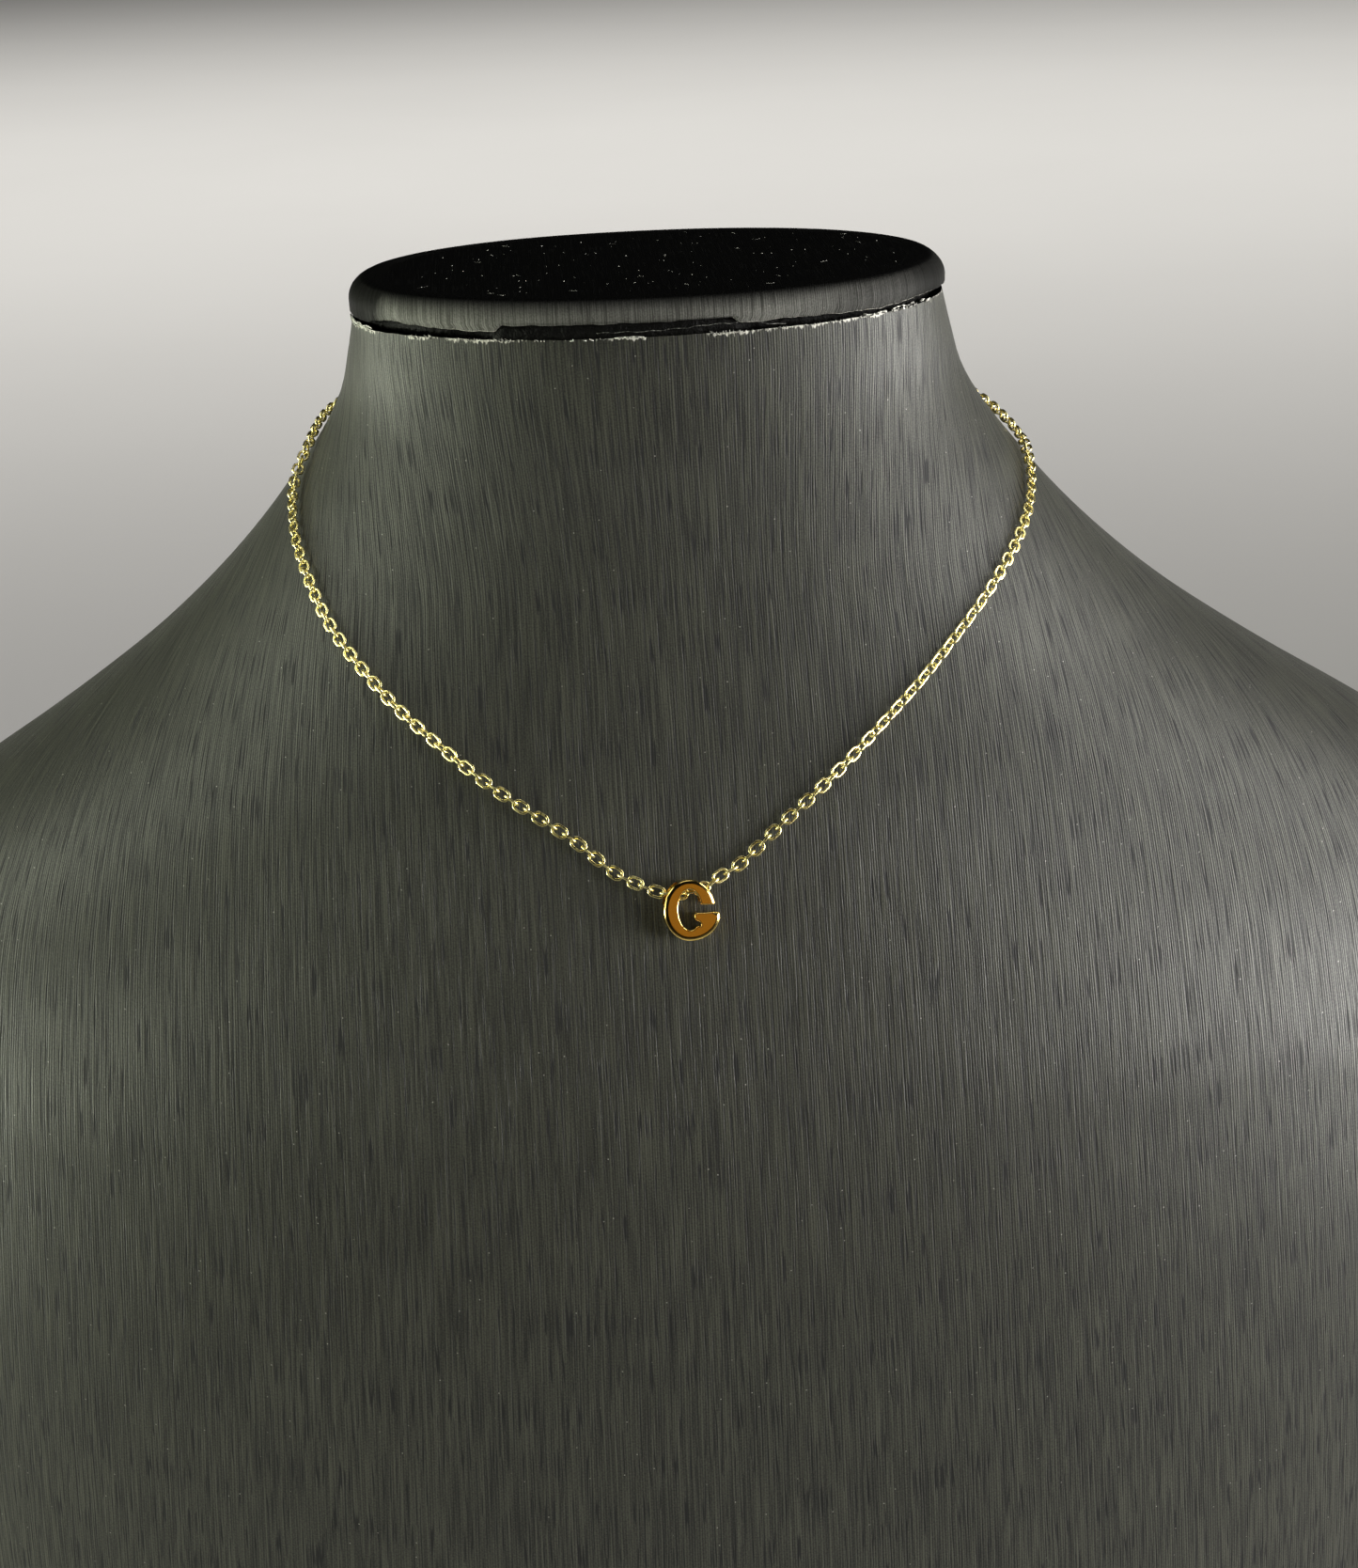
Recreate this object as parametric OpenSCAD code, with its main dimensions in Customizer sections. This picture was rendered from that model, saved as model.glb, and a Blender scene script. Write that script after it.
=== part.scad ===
// Initial pendant necklace on a plain neck bust.
// Millimetres. +Z is up, the chest faces -Y, and +X is to the right of someone looking at the chest.
// The origin is the middle of the bust's flat base.

/* [Bust] */
// Height from the base to the top of the cap
bust_h = 300; // [280:1:320]
// Width across the shoulders
shoulder_w = 324; // [300:1:345]
// Width of the neck where the cap sits
neck_w = 102; // [96:1:108]
// Depth of the body from the chest to the back
chest_d = 146; // [136:1:156]
// Depth of the neck where the cap sits
neck_d = 72; // [66:1:78]
// How far the middle of the neck stands behind the middle of the base
neck_back = 29; // [26:1:32]

/* [Neck cap] */
// Thickness of the cap
cap_t = 6; // [5:0.1:8]
// How far the cap stands out past the neck all round
cap_over = 0.6; // [0.2:0.1:1.5]
// Radius of the cap's rounded upper edge
cap_round = 3.6; // [2:0.1:4]
// Open glue line between the cap and the neck
seam_gap = 0.4; // [0.3:0.1:0.8]

/* [Letter] */
// Width of the letter
letter_w = 8.7; // [8.2:0.1:9.4]
// Height of the letter
letter_h = 9.5; // [9:0.1:10.5]
// Thickness of the letter from front to back
letter_d = 3.2; // [3.1:0.1:3.8]
// Thickness of the slot through the sides of the letter
slot_d = 2.5; // [2.4:0.05:2.6]

/* [Chain] */
// Outer length of one link
link_l = 2.9; // [2.8:0.05:3.1]
// Outer width of one link
link_w = 2.06; // [1.98:0.02:2.14]
// Width of a link's wire, seen on the flat of the link
wire_w = 0.42; // [0.38:0.01:0.44]
// Thickness of a link's wire, seen on the edge of the link
wire_t = 0.34; // [0.3:0.01:0.36]
// Free play of each link along the chain
link_play = 0.26; // [0.25:0.01:0.3]
// Air between the chain and the bust
chain_gap = 0.3; // [0.25:0.05:0.45]

/* [Clasp] */
// Outer length of the closed clasp ring behind the neck
clasp_l = 7; // [6:0.1:9]
// Outer width of the clasp ring
clasp_w = 4.4; // [4:0.1:5]
// Width and thickness of the clasp's wire
clasp_wire = 0.6; // [0.5:0.05:0.65]

/* [Hidden] */
charcoal = [0.17, 0.17, 0.175];
black = [0.06, 0.06, 0.065];
gold = [0.86, 0.72, 0.38];
seam_h = bust_h - cap_t;
around = 64;
levels = 44;
// The level sections are rounder than a box and fuller than an ellipse
fullness = 2 / 2.15;

// One row for each section of the bust, from the base to the seam under the cap.
// level: share of the seam's height. width: 0 is the neck's width and 1 is the shoulders'.
// front and back: 0 is the chest's or the back's line, and 1 is the neck's.
//            level, width, front, back
SECTIONS = [
    [0.00,  0.64,  0.12,  0.25],
    [0.20,  0.80,  0.015, 0.00],
    [0.37,  0.93,  0.00,  0.00],
    [0.51,  1.00,  0.03,  0.00],
    [0.61,  1.00,  0.09,  0.00],
    [0.68,  0.90,  0.175, 0.06],
    [0.73,  0.725, 0.25,  0.12],
    [0.775, 0.53,  0.33,  0.19],
    [0.82,  0.35,  0.453, 0.31],
    [0.865, 0.211, 0.58,  0.44],
    [0.91,  0.105, 0.73,  0.62],
    [0.955, 0.027, 0.89,  0.81],
    [1.00,  0.00,  1.00,  1.00]
];

// Where the chain crosses each direction round the neck: -270 and 90 are the nape, -180 is the
// left side, -90 the front and 0 the right side. The last column turns the links about the chain.
//          turn, level, roll
CHAIN_RUN = [
    [-270, 0.948, 0],
    [-235, 0.945, 0],
    [-205, 0.938, 0],
    [-185, 0.932, 45],
    [-178, 0.928, 45],
    [-169, 0.913, 20],
    [-158, 0.897, 0],
    [-145, 0.877, 0],
    [-134, 0.856, 0],
    [-125, 0.8375, 10],
    [-118, 0.821, 20],
    [-112, 0.806, 30],
    [-105, 0.786, 0],
    [-99,  0.7668, 0],
    [-93,  0.742, 0],
    [-88,  0.747, 0],
    [-84,  0.767, 0],
    [-79,  0.787, 20],
    [-73,  0.807, 40],
    [-67,  0.8237, 45],
    [-60,  0.8407, 45],
    [-51,  0.858, 30],
    [-42,  0.8723, 0],
    [-32,  0.8853, 0],
    [-20,  0.8985, 0],
    [-10,  0.9075, 20],
    [-2,   0.9105, 45],
    [12,   0.921, 45],
    [35,   0.934, 0],
    [60,   0.944, 0],
    [90,   0.948, 0]
];

// Smooth curve through one column of a table, which never overshoots its rows
function slope(t, c, i) = (t[i + 1][c] - t[i][c]) / (t[i + 1][0] - t[i][0]);
function tangent(t, c, i) =
    i == 0 ? slope(t, c, 0) :
    i == len(t) - 1 ? slope(t, c, i - 1) :
    let(a = slope(t, c, i - 1), b = slope(t, c, i)) a * b <= 0 ? 0 : 2 * a * b / (a + b);
function row_before(t, u, i = 0) = i >= len(t) - 2 || u < t[i + 1][0] ? i : row_before(t, u, i + 1);
function along(t, c, u) =
    let(i = row_before(t, u), h = t[i + 1][0] - t[i][0], s = (u - t[i][0]) / h)
    (2 * s ^ 3 - 3 * s ^ 2 + 1) * t[i][c] + (s ^ 3 - 2 * s ^ 2 + s) * h * tangent(t, c, i)
    + (3 * s ^ 2 - 2 * s ^ 3) * t[i + 1][c] + (s ^ 3 - s ^ 2) * h * tangent(t, c, i + 1);

// Half width, front line and back line of the bust at a level
function mix(a, b, share) = a + (b - a) * share;
function half_w(level) = mix(neck_w, shoulder_w, along(SECTIONS, 1, level)) / 2;
function front_y(level) = mix(-chest_d / 2, neck_back - neck_d / 2, along(SECTIONS, 2, level));
function back_y(level) = mix(chest_d / 2, neck_back + neck_d / 2, along(SECTIONS, 3, level));

// A point at a turn round a full oval of the given half width, front and back
function fuller(v) = sign(v) * abs(v) ^ fullness;
function oval_point(turn, half, front, back, z) = [
    half * fuller(cos(turn)),
    (front + back) / 2 + (back - front) / 2 * fuller(sin(turn)),
    z
];
function bust_point(turn, level) =
    oval_point(turn, half_w(level), front_y(level), back_y(level), seam_h * level);
function unit(v) = v / norm(v);
function bust_normal(turn, level) = unit(cross(
    bust_point(turn + 0.5, level) - bust_point(turn - 0.5, level),
    bust_point(turn, level + 0.002) - bust_point(turn, level - 0.002)
));

// A closed solid through a list of rings that all have the same number of points
module ringed_solid(rings) {
    n = len(rings[0]);
    last = (len(rings) - 1) * n;
    polyhedron(
        points = [for (ring = rings, p = ring) p],
        faces = concat(
            [[for (i = [0 : n - 1]) i]],
            [for (k = [0 : n : last - n], i = [0 : n - 1])
                let(j = (i + 1) % n) each [[k + i, k + n + i, k + n + j], [k + i, k + n + j, k + j]]],
            [[for (i = [n - 1 : -1 : 0]) last + i]]
        )
    );
}

module bust_body() {
    color(charcoal)
    ringed_solid([
        for (k = [0 : levels])
            [for (i = [0 : around - 1]) bust_point(i * 360 / around, k / levels)]
    ]);
}

// The cap's outline follows the neck's, drawn in or out by a set amount
function cap_ring(out, z) = [
    for (i = [0 : around - 1]) oval_point(
        i * 360 / around, neck_w / 2 + out,
        neck_back - neck_d / 2 - out, neck_back + neck_d / 2 + out, z)
];
module neck_cap() {
    under_r = 0.5;
    least_wall = 0.5;
    round_r = min(cap_round, cap_t - seam_gap - under_r - least_wall);
    color(black)
    ringed_solid(concat(
        [cap_ring(cap_over - under_r, seam_h + seam_gap)],
        [cap_ring(cap_over, seam_h + seam_gap + under_r)],
        [for (a = [0 : 15 : 90])
            cap_ring(cap_over - round_r * (1 - cos(a)), bust_h - round_r * (1 - sin(a)))]
    ));
}

// The letter's own frame: its middle, and the directions to its right, up and out of its face
letter_turn = -90.45;
letter_level = 0.727;
letter_gap = 0.85;
letter_yaw = 5;
letter_pitch = 16.5;
letter_lean = 2;
letter_out = [
    sin(letter_yaw) * cos(letter_pitch), -cos(letter_yaw) * cos(letter_pitch), sin(letter_pitch)
];
letter_right = unit(cross([sin(letter_lean), 0, cos(letter_lean)], letter_out));
letter_up = cross(letter_out, letter_right);
letter_mid = bust_point(letter_turn, letter_level)
    + (letter_d / 2 + letter_gap) * bust_normal(letter_turn, letter_level);
function on_letter(right, up, out) =
    letter_mid + right * letter_right + up * letter_up + out * letter_out;

// The capital G, in shares of its width and height from its middle
bowl_x = -0.036;
bowl_rx = 0.464;
bowl_ry = 0.5;
foot_y = -0.095;
counter_y = 0.012;
counter_rx = 0.213;
counter_ry = 0.336;
arm_end_y = 0.082;
bar_top_y = -0.045;
function arc_points(cx, cy, rx, ry, from, to, steps) = [
    for (i = [0 : steps]) let(a = mix(from, to, i / steps)) [cx + rx * cos(a), cy + ry * sin(a)]
];
arm_outer = asin(arm_end_y / bowl_ry);
arm_inner = asin((arm_end_y - counter_y) / counter_ry);
bar_end = [[0.495, -0.12], [0.5, -0.085], [0.488, -0.055], [0.465, bar_top_y]];
bar_hook = [
    [0.09, bar_top_y], [0.05, -0.06], [0.036, -0.1], [0.048, -0.145],
    [0.085, -0.175], [0.13, -0.19], [0.158, -0.23], [0.15, -0.275]
];
G_OUTLINE = concat(
    arc_points(bowl_x, 0, bowl_rx, bowl_ry, arm_outer, 270, 34),
    arc_points(bowl_x, foot_y, 0.5 - bowl_x, bowl_ry + foot_y, 279, 354, 11),
    bar_end,
    bar_hook,
    arc_points(bowl_x, counter_y, counter_rx, counter_ry, -52, -360 + arm_inner, 30)
);
// Least metal in front of the slot and behind it
least_face = 0.3;
// The slot's top rises to the right, where the chain leaves the letter at a steeper slope
SLOT_OUTLINE = [[-0.6, 0.14], [0.6, 0.14], [0.6, 0.68], [0.02, 0.415], [-0.6, 0.415]];
function sized(points) = [for (p = points) [p[0] * letter_w, p[1] * letter_h]];
module letter_g() {
    slot_t = min(slot_d, letter_d - 2 * least_face);
    color(gold)
    multmatrix([for (i = [0 : 2]) [letter_right[i], letter_up[i], letter_out[i], letter_mid[i]]])
    difference() {
        linear_extrude(letter_d, center = true) polygon(sized(G_OUTLINE));
        linear_extrude(slot_t, center = true) polygon(sized(SLOT_OUTLINE));
    }
}

// Chain route: each knot is a point and the direction out of the surface there
letter_left_turn = -95;
letter_right_turn = -87.4;
// How high the chain's axis stands over the bust, for links turned by roll and by roll + 90
function axis_h(roll) = chain_gap + max(
    link_w * abs(sin(roll)) + wire_t * abs(cos(roll)),
    link_w * abs(cos(roll)) + wire_t * abs(sin(roll))
) / 2;
function surface_knot(turn) =
    let(level = along(CHAIN_RUN, 1, turn), out = bust_normal(turn, level),
        roll = along(CHAIN_RUN, 2, turn))
    [bust_point(turn, level) + axis_h(roll) * out, out, roll];
// The chain as it nears, threads and leaves the letter, in shares of its width, height and depth.
// The letter's slot holds the chain in the middle of its depth.
LETTER_RUN = [
    [-0.793, 0.402, -0.297],
    [-0.603, 0.326, -0.125],
    [-0.402, 0.28,  -0.02],
    [-0.195, 0.268, 0],
    [0.012,  0.29,  0],
    [0.213,  0.337, -0.01],
    [0.397,  0.416, -0.05],
    [0.563,  0.521, -0.125]
];
side_knots = 58;
nape_left = CHAIN_RUN[0][0];
nape_right = CHAIN_RUN[len(CHAIN_RUN) - 1][0];
KNOTS = concat(
    [for (i = [0 : side_knots]) surface_knot(mix(nape_left, letter_left_turn, i / side_knots))],
    [for (p = LETTER_RUN)
        [on_letter(p[0] * letter_w, p[1] * letter_h, p[2] * letter_d), letter_out, 0]],
    [for (i = [0 : side_knots]) surface_knot(mix(letter_right_turn, nape_right, i / side_knots))]
);
function between(a, b, c, d, s) = 0.5 * (
    2 * b + (c - a) * s + (2 * a - 5 * b + 4 * c - d) * s ^ 2 + (3 * b - a - 3 * c + d) * s ^ 3
);
last_knot = len(KNOTS) - 1;
// The loop is closed, so the knots before the first and after the last come from its other end
function knot(i) = KNOTS[i < 0 ? last_knot + i : i > last_knot ? i - last_knot : i];
steps = 4;
ROUTE = concat(
    [for (i = [0 : last_knot - 1], s = [0 : 1 / steps : 0.99])
        [for (c = [0 : 2]) between(knot(i - 1)[c], knot(i)[c], knot(i + 1)[c], knot(i + 2)[c], s)]],
    [KNOTS[last_knot]]
);
LENGTHS = [
    for (i = 0, s = 0; i < len(ROUTE);
        i = i + 1, s = i < len(ROUTE) ? s + norm(ROUTE[i][0] - ROUTE[i - 1][0]) : s) s
];
loop_l = LENGTHS[len(LENGTHS) - 1];
// Columns of the route against the length along it
PLACES = [for (c = [0 : 2]) [for (i = [0 : len(ROUTE) - 1]) [LENGTHS[i], ROUTE[i][0][c]]]];
OUTS = [for (c = [0 : 2]) [for (i = [0 : len(ROUTE) - 1]) [LENGTHS[i], ROUTE[i][1][c]]]];
ROLLS = [for (i = [0 : len(ROUTE) - 1]) [LENGTHS[i], ROUTE[i][2]]];
function in_loop(s) = s < 0 ? s + loop_l : s > loop_l ? s - loop_l : s;
function place(s) = [for (c = [0 : 2]) lookup(in_loop(s), PLACES[c])];
function out_at(s) = unit([for (c = [0 : 2]) lookup(in_loop(s), OUTS[c])]);

// Links at an even pitch from one side of the clasp to the other. Their count is odd, so both
// end links stand the same way, across the clasp.
wanted_pitch = link_l - 2 * wire_w - link_play;
clasp_play = 1.3 * link_play;
clasp_reach = clasp_l / 2 - clasp_wire + link_l / 2 - wire_w - clasp_play;
links = 2 * round((loop_l - 2 * clasp_reach) / wanted_pitch / 2) + 1;
pitch = (loop_l - 2 * clasp_reach) / (links - 1);
// The two chain nodes meet at the knot in the middle of the letter
middle_row = 4;
letter_s = LENGTHS[(side_knots + 1 + middle_row) * steps];
first_right = ceil((letter_s - clasp_reach) / pitch);

// A flat oval ring of rectangular wire: half circles of 7 points joined by straight sides
function stadium(l, w) = [
    for (side = [0, 180], a = [-90 : 30 : 90])
        [(l - w) / 2 * cos(side) + w / 2 * cos(a + side), w / 2 * sin(a + side)]
];
module oval_ring(l, w, wire, t) {
    n = 14;
    linear_extrude(t, center = true)
        polygon(
            concat(stadium(l, w), stadium(l - 2 * wire, w - 2 * wire)),
            [[for (i = [0 : n - 1]) i], [for (i = [0 : n - 1]) n + i]]
        );
}

// Stands a ring on the route, with its length along the chain, turned about it by roll
module on_route(s, reach, roll) {
    ahead = unit(place(s + reach) - place(s - reach));
    across = unit(cross(out_at(s), ahead));
    out = cross(ahead, across);
    side = cos(roll) * across + sin(roll) * out;
    face = cos(roll) * out - sin(roll) * across;
    at = place(s);
    multmatrix([for (i = [0 : 2]) [ahead[i], side[i], face[i], at[i]]]) children();
}

module chain_links(first, last) {
    color(gold)
    for (k = [first : last]) {
        s = clasp_reach + k * pitch;
        on_route(s, pitch / 2, lookup(s, ROLLS) + (k % 2 == 0 ? 90 : 0))
            oval_ring(link_l, link_w, wire_w, wire_t);
    }
}
module chain_left() {
    chain_links(0, first_right - 1);
}
module chain_right() {
    chain_links(first_right, links - 1);
}

module clasp() {
    color(gold)
    on_route(0, clasp_l / 2, 0)
        oval_ring(clasp_l, clasp_w, clasp_wire, clasp_wire);
}

bust_body();
neck_cap();
letter_g();
chain_left();
chain_right();
clasp();
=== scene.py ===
# %% [markdown]
# # An initial pendant necklace on a neck bust
# The necklace is a fine oval cable chain that runs through a polished capital G. It hangs on a shop's
# neck bust: a body wrapped in charcoal ribbed leatherette, closed by a black cap with a rough glued seam.
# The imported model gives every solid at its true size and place. This lesson dresses those solids, one
# piece at a time, and never moves them.

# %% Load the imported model
import math
import random

import bmesh
import bpy
import numpy as np
from mathutils import Matrix, Vector, geometry


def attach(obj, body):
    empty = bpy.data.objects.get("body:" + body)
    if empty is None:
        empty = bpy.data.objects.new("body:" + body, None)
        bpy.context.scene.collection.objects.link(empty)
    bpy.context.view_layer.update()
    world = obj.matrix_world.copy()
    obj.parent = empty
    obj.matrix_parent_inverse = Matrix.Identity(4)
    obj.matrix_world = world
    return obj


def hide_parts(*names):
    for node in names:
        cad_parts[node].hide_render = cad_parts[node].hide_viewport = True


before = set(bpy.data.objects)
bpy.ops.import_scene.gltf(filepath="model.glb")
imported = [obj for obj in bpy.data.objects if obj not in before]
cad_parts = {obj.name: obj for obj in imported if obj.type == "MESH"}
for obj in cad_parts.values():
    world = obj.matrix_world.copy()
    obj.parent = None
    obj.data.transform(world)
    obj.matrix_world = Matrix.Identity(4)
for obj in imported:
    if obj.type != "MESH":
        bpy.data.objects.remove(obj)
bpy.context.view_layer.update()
MM = 0.001  # one millimetre in Blender's metres
chance = random.Random(7)  # everything random comes from this one seed
print("solids:", ", ".join(sorted(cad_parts)))

# %% [markdown]
# ## Camera
# The photograph looks down at the chest from a little to the left. Its angle, distance and focal length
# were worked out from the outline of the neck and shoulders, the cap, the seam and the chain. The long
# side of the picture sets the lens, because Blender fits the sensor's width to the long side.

# %% Camera
PHOTO_HEIGHT = 1668  # pixels, the photograph's long side
FOCAL_PIXELS = 3167  # the focal length in the same pixels
SENSOR_WIDTH = 36  # mm
AIM = Vector((-2.14, -52, 232.75)) * MM  # a spot on the chest just above the letter
CAMERA_DISTANCE = 461 * MM
CAMERA_YAW, CAMERA_PITCH, CAMERA_ROLL = (math.radians(angle) for angle in (-3, 19.62, -2.25))

towards_camera = Vector((
    math.sin(CAMERA_YAW) * math.cos(CAMERA_PITCH),
    -math.cos(CAMERA_YAW) * math.cos(CAMERA_PITCH),
    math.sin(CAMERA_PITCH),
))
level_right = (-towards_camera).cross(Vector((0, 0, 1))).normalized()
level_up = level_right.cross(-towards_camera)
right = math.cos(CAMERA_ROLL) * level_right + math.sin(CAMERA_ROLL) * level_up
up = math.cos(CAMERA_ROLL) * level_up - math.sin(CAMERA_ROLL) * level_right

camera = bpy.data.objects.new("camera", bpy.data.cameras.new("camera"))
camera.data.sensor_width = SENSOR_WIDTH
camera.data.lens = FOCAL_PIXELS / PHOTO_HEIGHT * SENSOR_WIDTH
camera.data.clip_start = 10 * MM
camera.data.clip_end = 50
turned = Matrix((right, up, towards_camera)).transposed().to_4x4()
camera.matrix_world = Matrix.Translation(AIM + CAMERA_DISTANCE * towards_camera) @ turned
bpy.context.scene.collection.objects.link(camera)
bpy.context.scene.camera = camera
print(f"camera {CAMERA_DISTANCE / MM:.0f} mm from the chest, lens {camera.data.lens:.1f} mm")

# %% [markdown]
# ## Shader maths
# A material here is mostly sums of noises. Wrapping one output socket in a small class lets such a sum be
# written as a Python expression, and each operator adds the Math node that it needs.

# %% A socket that does arithmetic
class Signal:
    """One output socket of a node tree, with the arithmetic that materials need."""

    def __init__(self, tree, socket=None):
        self.tree = tree
        self.socket = socket

    def node(self, kind, settings=None, inputs=None, output=0):
        """Adds a node: its settings come first, then the values or links of its sockets."""
        made = self.tree.nodes.new(kind)
        for name, value in (settings or {}).items():
            setattr(made, name, value)
        for name, value in (inputs or {}).items():
            if isinstance(value, Signal):
                self.tree.links.new(value.socket, made.inputs[name])
            else:
                made.inputs[name].default_value = value
        return Signal(self.tree, made.outputs[output])

    def maths(self, operation, *values):
        return self.node("ShaderNodeMath", {"operation": operation}, dict(enumerate(values)))

    def __add__(self, other):
        return self.maths("ADD", self, other)

    def __radd__(self, other):
        return self.maths("ADD", other, self)

    def __sub__(self, other):
        return self.maths("SUBTRACT", self, other)

    def __rsub__(self, other):
        return self.maths("SUBTRACT", other, self)

    def __mul__(self, other):
        return self.maths("MULTIPLY", self, other)

    def __rmul__(self, other):
        return self.maths("MULTIPLY", other, self)

    def between(self, low, high):
        """0 at low, 1 at high, and smooth between them; low may be the larger one."""
        settings = {"interpolation_type": "SMOOTHSTEP"}
        span = {"Value": self, "From Min": low, "From Max": high}
        return self.node("ShaderNodeMapRange", settings, span)

    def stretched(self, across, down, out=1.0, shift=0.0):
        """This vector, scaled along each of its axes and shifted, so that two noises over it differ."""
        scale = {0: self, 1: (across, down, out), 2: (shift, shift, shift)}
        return self.node("ShaderNodeVectorMath", {"operation": "MULTIPLY_ADD"}, scale)

    def noise(self, detail=2.0, roughness=0.5, dimensions="3D"):
        """Noise over this vector, from 0 to 1."""
        values = {"Vector": self, "Scale": 1.0, "Detail": detail, "Roughness": roughness}
        return self.node("ShaderNodeTexNoise", {"noise_dimensions": dimensions}, values)

    def flat_noise(self, across, down, shift, detail, roughness):
        """Noise over the first two axes of this vector, at so many bumps per unit, which costs little."""
        return self.stretched(across, down, 1.0, shift).noise(detail, roughness, "2D")

    def solid_noise(self, rate, shift=0.0, detail=2.0, roughness=0.5):
        """Noise through space, at so many bumps per unit."""
        return self.stretched(rate, rate, rate, shift).noise(detail, roughness)

    def tint(self, low, high):
        """A colour between two colours, by this signal; each colour may be a signal too."""
        low, high = (end if isinstance(end, Signal) else (*end, 1) for end in (low, high))
        return self.node("ShaderNodeMix", {"data_type": "RGBA"}, {0: self, 6: low, 7: high}, output=2)

    def bump(self, distance):
        """A normal from this signal, whose full range stands for a height in metres."""
        return self.node("ShaderNodeBump", {}, {"Height": self, "Distance": distance, "Strength": 1.0})


# %% [markdown]
# ## Materials and pieces
# Every finish starts from Blender's Principled shader: what is the same all over a surface is set on its
# own sockets, and what varies is linked to them. Every piece is a mesh built from points and faces, so that
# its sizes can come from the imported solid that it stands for.

# %% Material and mesh helpers
def new_material(name, constants):
    """A material, the start of its signals, and its shader with the constants set."""
    material = bpy.data.materials.new(name)
    material.use_nodes = True
    tree = material.node_tree
    shader = tree.nodes["Principled BSDF"]
    for socket, value in constants.items():
        shader.inputs[socket].default_value = value
    return material, Signal(tree), shader


def place_in_mm(start):
    """The place in millimetres of each point that the shader works on."""
    return start.node("ShaderNodeNewGeometry").stretched(1 / MM, 1 / MM, 1 / MM)


def feed(shader, **signals):
    """Links signals to the shader's sockets: base_color goes to Base Color, and so on."""
    for name, signal in signals.items():
        signal.tree.links.new(signal.socket, shader.inputs[name.replace("_", " ").title()])


def new_piece(name, points, faces, material, slot, replaces=()):
    """A smooth mesh piece that rides on the one body and stands for the solids that it replaces."""
    mesh = bpy.data.meshes.new(name)
    mesh.from_pydata([tuple(p) for p in points], [], [tuple(f) for f in faces])
    mesh.update()
    mesh.shade_smooth()
    piece = bpy.data.objects.new(name, mesh)
    bpy.context.scene.collection.objects.link(piece)
    mesh.materials.append(material)
    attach(piece, "root")
    if replaces:
        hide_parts(*replaces)
    print(f"{name}: {len(mesh.vertices)} points, {len(mesh.polygons)} faces")
    return piece


def closed_rows(rows, columns):
    """Quads between rings that each have the same number of points."""
    faces = []
    for row in range(rows - 1):
        for column in range(columns):
            after = (column + 1) % columns
            low, high = row * columns, (row + 1) * columns
            faces.append((low + column, low + after, high + after, high + column))
    return faces

# %% [markdown]
# ## Reading the rings
# The bust and its cap are lofted solids: rings of points at set levels. Reading those rings back from the
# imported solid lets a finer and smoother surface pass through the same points, so the dressed bust keeps
# the solid's size exactly. A Catmull-Rom curve is used because it passes through its points.

# %% Rings of a lofted solid
SAME_LEVEL = 2e-5  # metres between points of one ring, at most
JUST_BEFORE = 0.001  # radians, so that a point at +X surely comes first


def rings_of(node):
    """The level rings of a lofted solid, from its base up, each sorted by its turn from +X."""
    points = np.array([v.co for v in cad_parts[node].data.vertices])
    points = np.unique(np.round(points, 6), axis=0)
    heights = np.unique(np.round(points[:, 2], 5))
    rings = []
    for height in heights:
        ring = points[np.abs(points[:, 2] - height) < SAME_LEVEL]
        middle = (ring.min(0) + ring.max(0)) / 2
        turn = np.arctan2(ring[:, 1] - middle[1], ring[:, 0] - middle[0])
        rings.append(ring[np.argsort((turn + JUST_BEFORE) % math.tau)])
    return np.array(rings)


def curve_through(points, places):
    """Catmull-Rom points at fractional places along the first axis of an array."""
    last = len(points) - 1
    before = np.clip(np.floor(places).astype(int), 0, last - 1)
    share = (places - before).reshape(-1, *([1] * (points.ndim - 1)))
    a, b = points[np.maximum(before - 1, 0)], points[before]
    c, d = points[before + 1], points[np.minimum(before + 2, last)]
    return 0.5 * (
        2 * b + (c - a) * share + (2 * a - 5 * b + 4 * c - d) * share**2
        + (3 * b - a - 3 * c + d) * share**3
    )


BACK_TURN = 90  # degrees from +X to the middle of the back, where every finer ring starts


def finer_ring(ring, count):
    """A closed ring with more points, whose first point is in the middle of the back."""
    n = len(ring)
    padded = np.concatenate([ring[-2:], ring, ring[:3]])
    places = 2 + (np.arange(count) / count * n + BACK_TURN / 360 * n) % n
    return curve_through(padded, places)


bust_rings = rings_of("bust_body")
cap_rings = rings_of("neck_cap")
seam_z = bust_rings[-1][0][2]
print(f"bust: {len(bust_rings)} rings, seam at {seam_z / MM:.1f} mm; cap: {len(cap_rings)} rings")

# %% [markdown]
# ## Leatherette
# The bust's cover is a thin charcoal leatherette, embossed with fine ribs about 0.4 mm apart. Such fine
# ribs would take millions of faces, so they are colour, roughness and bump. A plain sine wave looks
# printed, so long drawn-out noises make them wander, break off and wear, with thin dark slits between.
# Their direction matters, so the mesh carries a cloth coordinate in millimetres, across the ribs and down
# them. The cap wears the same cloth in black, and where the cloth is cut its pale backing shows.

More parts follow.
